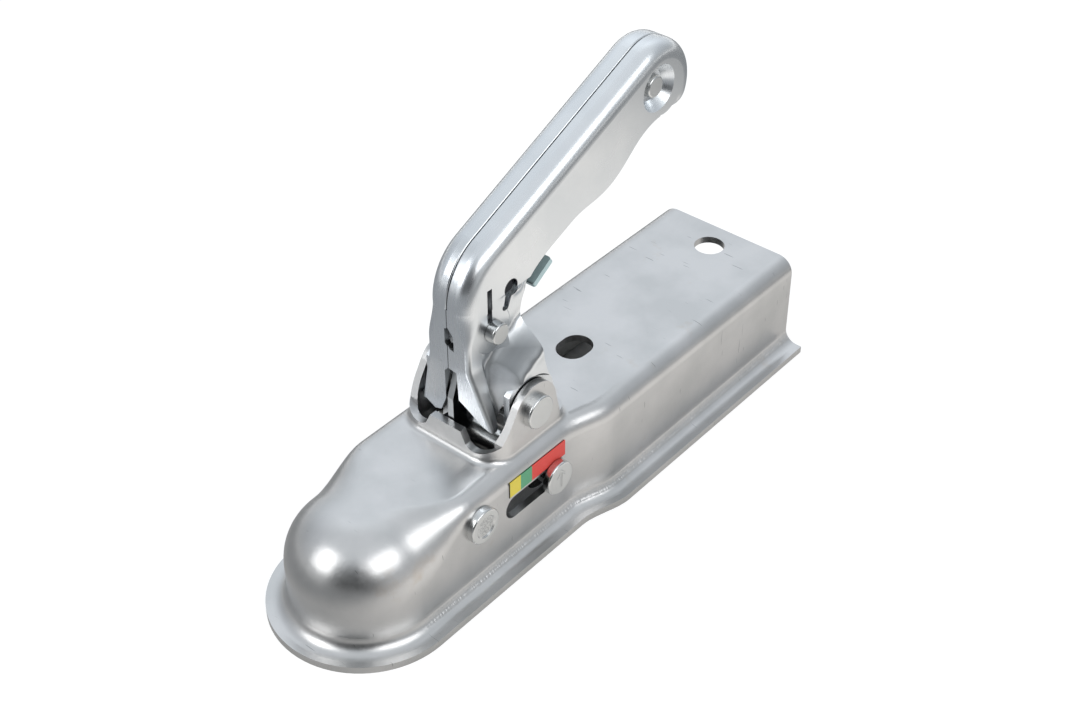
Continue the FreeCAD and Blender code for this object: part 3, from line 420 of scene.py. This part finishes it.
# Painted shade on the step's slope, whose mask also makes the step rougher.
step_shade_and_roughness = add(tree, "ShaderNodeMath", links={0: below.outputs[0], 1: rising.outputs[0]},
               operation="MULTIPLY")
step_shade_and_roughness = add(tree, "ShaderNodeMath", links={0: step_shade_and_roughness.outputs[0], 1: leaning.outputs[0]},
               operation="MULTIPLY")
step_shaded = add(tree, "ShaderNodeMix", {MIX_B: linear(STEP_SHADE_TINT)},
           {0: step_shade_and_roughness.outputs[0], MIX_A: metal.inputs["Base Color"].links[0].from_socket},
           data_type="RGBA")
# Painted sheen: faces that look forward are tinted paler.
painted_front_sheen = add(tree, "ShaderNodeMapRange", {"From Min": FRONT_FROM, "From Max": FRONT_FULL},
              {"Value": facing.outputs["X"]})
front = add(tree, "ShaderNodeMix", {MIX_B: linear(FRONT_SHEEN_TINT)},
            {0: painted_front_sheen.outputs[0], MIX_A: step_shaded.outputs[MIX_RESULT]}, data_type="RGBA")
tree.links.new(front.outputs[MIX_RESULT], metal.inputs["Base Color"])
rougher = add(tree, "ShaderNodeMath", {1: STEP_ROUGHER}, {0: step_shade_and_roughness.outputs[0]},
              operation="MULTIPLY")
rougher = add(tree, "ShaderNodeMath", operation="ADD",
              links={0: rougher.outputs[0],
                     1: metal.inputs["Roughness"].links[0].from_socket})
tree.links.new(rougher.outputs[0], metal.inputs["Roughness"])
dress(["handle_half_left", "handle_half_right"], handle_zinc)

# Rivets, pins, sleeves and washers. Cold-headed round steel, zinc plated: the flat faces are
# pale and matt from the die, the rounded rims bright. An arrow is pressed into the indicator
# pin's head, and the jaw pin's head is pitted in the middle.
RIM_UP_TO, FLAT_FROM = 0.93, 0.99
RIM_ROUGHNESS, FLAT_ROUGHNESS = 0.22, 0.48
PIT_MM = 0.5
PIT_TINT = "#7E8184"
PIT_SHARE = 0.45
PIT_FROM, PIT_FULL = 0.40, 0.62
PITTED_FROM_RADIUS, PITTED_FULL_RADIUS = 0.0045, 0.0036
ARROW_HALF_LENGTH = 0.0039
ARROW_HALF_WIDTH = 0.0023
# Half widths of the arrow's lines, at which they begin and are full.
SHAFT_FROM, SHAFT_FULL = 0.0006, 0.0003
BARB_FROM, BARB_FULL = 0.0007, 0.0004
# The arrow is drawn deeper than it is pressed, so that it shows, and only this near to the
# face of the head.
ARROW_DEPTH = 0.0014
HEAD_FACE = 0.0004

pin_zinc, tree, metal = metal_skin(
    "pin_zinc", light="#DCDDDC", dark="#D2D3D2", rough=0.24, grain_um=3.0,
    streak_mm=(0.6, 0.6, 0.6), recess_mm=3.0)
place = add(tree, "ShaderNodeTexCoord").outputs["Object"]
normal = add(tree, "ShaderNodeNewGeometry").outputs["Normal"]
facing = add(tree, "ShaderNodeSeparateXYZ", links={0: normal})
sideways = add(tree, "ShaderNodeMath", links={0: facing.outputs["Y"]}, operation="ABSOLUTE")
matt_face = add(tree, "ShaderNodeMapRange",
                {"From Min": RIM_UP_TO, "From Max": FLAT_FROM,
                 "To Min": RIM_ROUGHNESS, "To Max": FLAT_ROUGHNESS},
                {"Value": sideways.outputs[0]})
tree.links.new(matt_face.outputs[0], metal.inputs["Roughness"])
jaw_low, jaw_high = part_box("jaw_pivot_pin")
jaw_axis = ((jaw_low[0] + jaw_high[0]) / 2, 0.0, (jaw_low[2] + jaw_high[2]) / 2)
from_axis = add(tree, "ShaderNodeVectorMath", {1: (1.0, 0.0, 1.0)}, {0: place},
                operation="MULTIPLY")
from_axis = add(tree, "ShaderNodeVectorMath", {1: jaw_axis}, {0: from_axis.outputs[0]},
                operation="DISTANCE")
dish = add(tree, "ShaderNodeMapRange",
           {"From Min": PITTED_FROM_RADIUS, "From Max": PITTED_FULL_RADIUS},
           {"Value": from_axis.outputs["Value"]})
speckle = add(tree, "ShaderNodeTexNoise", {"Scale": per_metre(PIT_MM), "Detail": 1.0},
              {"Vector": place})
speckled = add(tree, "ShaderNodeMapRange",
               {"From Min": PIT_FROM, "From Max": PIT_FULL, "To Max": PIT_SHARE},
               {"Value": speckle.outputs["Fac"]})
pitted = add(tree, "ShaderNodeMath", links={0: dish.outputs[0], 1: speckled.outputs[0]},
             operation="MULTIPLY")
pits = add(tree, "ShaderNodeMix", {MIX_B: linear(PIT_TINT)},
           {0: pitted.outputs[0], MIX_A: metal.inputs["Base Color"].links[0].from_socket},
           data_type="RGBA")
tree.links.new(pits.outputs[MIX_RESULT], metal.inputs["Base Color"])
head_low, head_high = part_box("indicator_pin")
to_head = (-(head_low[0] + head_high[0]) / 2, -head_high[1],
           -(head_low[2] + head_high[2]) / 2)
head = add(tree, "ShaderNodeMapping", {"Location": to_head}, {"Vector": place})
on_head = add(tree, "ShaderNodeSeparateXYZ", links={0: head.outputs[0]})
off_middle = add(tree, "ShaderNodeMath", links={0: on_head.outputs["X"]},
                 operation="ABSOLUTE")
shaft = add(tree, "ShaderNodeMapRange", {"From Min": SHAFT_FROM, "From Max": SHAFT_FULL},
            {"Value": off_middle.outputs[0]})
off_barb = add(tree, "ShaderNodeMath", {1: ARROW_HALF_LENGTH}, {0: on_head.outputs["Z"]},
               operation="SUBTRACT")
off_barb = add(tree, "ShaderNodeMath", links={0: off_barb.outputs[0], 1: off_middle.outputs[0]},
               operation="ADD")
off_barb = add(tree, "ShaderNodeMath", links={0: off_barb.outputs[0]}, operation="ABSOLUTE")
barb = add(tree, "ShaderNodeMapRange", {"From Min": BARB_FROM, "From Max": BARB_FULL},
           {"Value": off_barb.outputs[0]})
near = add(tree, "ShaderNodeMath", {1: ARROW_HALF_WIDTH}, {0: off_middle.outputs[0]},
           operation="LESS_THAN")
barb = add(tree, "ShaderNodeMath", links={0: barb.outputs[0], 1: near.outputs[0]},
           operation="MULTIPLY")
length = add(tree, "ShaderNodeMath", links={0: on_head.outputs["Z"]}, operation="ABSOLUTE")
length = add(tree, "ShaderNodeMath", {1: ARROW_HALF_LENGTH}, {0: length.outputs[0]},
             operation="LESS_THAN")
shaft = add(tree, "ShaderNodeMath", links={0: shaft.outputs[0], 1: length.outputs[0]},
            operation="MULTIPLY")
arrow = add(tree, "ShaderNodeMath", links={0: shaft.outputs[0], 1: barb.outputs[0]},
            operation="MAXIMUM")
face = add(tree, "ShaderNodeMath", {1: -HEAD_FACE}, {0: on_head.outputs["Y"]},
           operation="GREATER_THAN")
arrow = add(tree, "ShaderNodeMath", links={0: arrow.outputs[0], 1: face.outputs[0]},
            operation="MULTIPLY")
pressed = add(tree, "ShaderNodeBump", {"Distance": ARROW_DEPTH},
              {"Height": arrow.outputs[0],
               "Normal": metal.inputs["Normal"].links[0].from_socket}, invert=True)
tree.links.new(pressed.outputs[0], metal.inputs["Normal"])
dress(["handle_pivot_pin", "jaw_pivot_pin", "grip_rivet", "grip_spacer", "latch_rivet",
       "latch_sleeve", "pivot_sleeve", "indicator_pin", "indicator_washer", "pin_sleeve",
       "pin_washer_left", "pin_washer_right", "jaw_washer_left", "jaw_washer_right"], pin_zinc)

# Safety latch. A 2.6 mm steel plate between the handle halves, darkened with painted shade on
# its sides and in the hollow of the handle. The finger tab has a passivated plating that leans
# to blue-green.
TAB_FROM, TAB_FULL = -0.0830, -0.0845
HOLLOW_FROM, HOLLOW_FULL = 0.064, 0.067
SIDE_FROM = 0.6
LATCH_SHADE_TINT = "#22252A"
TAB_TINT = "#BCD2D3"
TAB_METALLIC = 0.35

latch_zinc, tree, metal = metal_skin(
    "latch_zinc", light="#D3D5D6", dark="#C3C6C8", rough=0.32, grain_um=3.0,
    streak_mm=(0.8, 0.8, 12.0), recess_mm=2.0)
place = add(tree, "ShaderNodeTexCoord").outputs["Object"]
axes = add(tree, "ShaderNodeSeparateXYZ", links={0: place})
tab = add(tree, "ShaderNodeMapRange", {"From Min": TAB_FROM, "From Max": TAB_FULL},
          {"Value": axes.outputs["X"]})
hollow = add(tree, "ShaderNodeMapRange", {"From Min": HOLLOW_FROM, "From Max": HOLLOW_FULL},
             {"Value": axes.outputs["Z"]})
normal = add(tree, "ShaderNodeNewGeometry").outputs["Normal"]
facing = add(tree, "ShaderNodeSeparateXYZ", links={0: normal})
# Painted shade on the plate's sides and in the hollow of the handle.
latch_shade_mask = add(tree, "ShaderNodeMath", links={0: facing.outputs["Y"]}, operation="ABSOLUTE")
latch_shade_mask = add(tree, "ShaderNodeMath", {1: SIDE_FROM}, {0: latch_shade_mask.outputs[0]},
              operation="GREATER_THAN")
latch_shade_mask = add(tree, "ShaderNodeMath", links={0: latch_shade_mask.outputs[0], 1: hollow.outputs[0]},
              operation="MAXIMUM")
latch_shaded = add(tree, "ShaderNodeMix", {MIX_B: linear(LATCH_SHADE_TINT)},
             {0: latch_shade_mask.outputs[0], MIX_A: metal.inputs["Base Color"].links[0].from_socket},
             data_type="RGBA")
passivated = add(tree, "ShaderNodeMix", {MIX_B: linear(TAB_TINT)},
                 {0: tab.outputs[0], MIX_A: latch_shaded.outputs[MIX_RESULT]}, data_type="RGBA")
tree.links.new(passivated.outputs[MIX_RESULT], metal.inputs["Base Color"])
clad = add(tree, "ShaderNodeMapRange", {"To Min": 1.0, "To Max": TAB_METALLIC},
           {"Value": tab.outputs[0]})
tree.links.new(clad.outputs[0], metal.inputs["Metallic"])
dress(["safety_latch"], latch_zinc)

# Springs. Round spring wire, 2.3 mm thick on the jaw and 1.3 mm on the latch, cold wound,
# oiled and left without plating, so that it looks darker than the parts round it.
wire_steel = metal_skin("wire_steel", light="#8C8F93", dark="#6F7276", rough=0.34,
                        grain_um=2.0, streak_mm=(2.0, 2.0, 2.0), recess_mm=6.0)[0]
dress(["jaw_spring", "latch_spring"], wire_steel)

# Ball jaw. Cast iron that turns on the jaw pin and closes behind the ball, with a dull dark
# grey skin from the mould and grease in its pores.
jaw_iron = metal_skin("jaw_iron", light="#48484B", dark="#323235", rough=0.5,
                      grain_um=30.0, streak_mm=(3.0, 3.0, 3.0), recess_mm=10.0)[0]
dress(["ball_jaw"], jaw_iron)

# Wear indicator label. A strip of printed foil, 0.2 mm thick, stuck on the left wall above
# the slot. It is satin, with a red, a green and a yellow field from the rear to the front,
# and a black front edge.
RED_INK = "#EA4A40"
GREEN_INK = "#5FA97D"
YELLOW_INK = "#F0D94E"
BLACK_INK = "#26262A"
# Where the inks begin, as shares of the strip's length from its rear end.
GREEN_FROM = 0.60
YELLOW_FROM = 0.80
BLACK_FROM = 0.985
INK_ROUGHNESS = 0.45

label_low, label_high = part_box("indicator_label")
label_print = bpy.data.materials.new("label_print")
label_print.use_nodes = True
tree = label_print.node_tree
tree.nodes.clear()
place = add(tree, "ShaderNodeTexCoord").outputs["Object"]
axes = add(tree, "ShaderNodeSeparateXYZ", links={0: place})
along = add(tree, "ShaderNodeMapRange",
            {"From Min": label_low[0], "From Max": label_high[0]},
            {"Value": axes.outputs["X"]})
inks = add(tree, "ShaderNodeValToRGB", links={"Fac": along.outputs[0]})
inks.color_ramp.interpolation = "CONSTANT"
stops = inks.color_ramp.elements
stops[0].color = linear(RED_INK)
stops[1].position = BLACK_FROM
stops[1].color = linear(BLACK_INK)
stops.new(GREEN_FROM).color = linear(GREEN_INK)
stops.new(YELLOW_FROM).color = linear(YELLOW_INK)
ink = add(tree, "ShaderNodeBsdfPrincipled", {"Roughness": INK_ROUGHNESS},
          {"Base Color": inks.outputs["Color"]})
add(tree, "ShaderNodeOutputMaterial", links={"Surface": ink.outputs[0]})
dress(["indicator_label"], label_print)
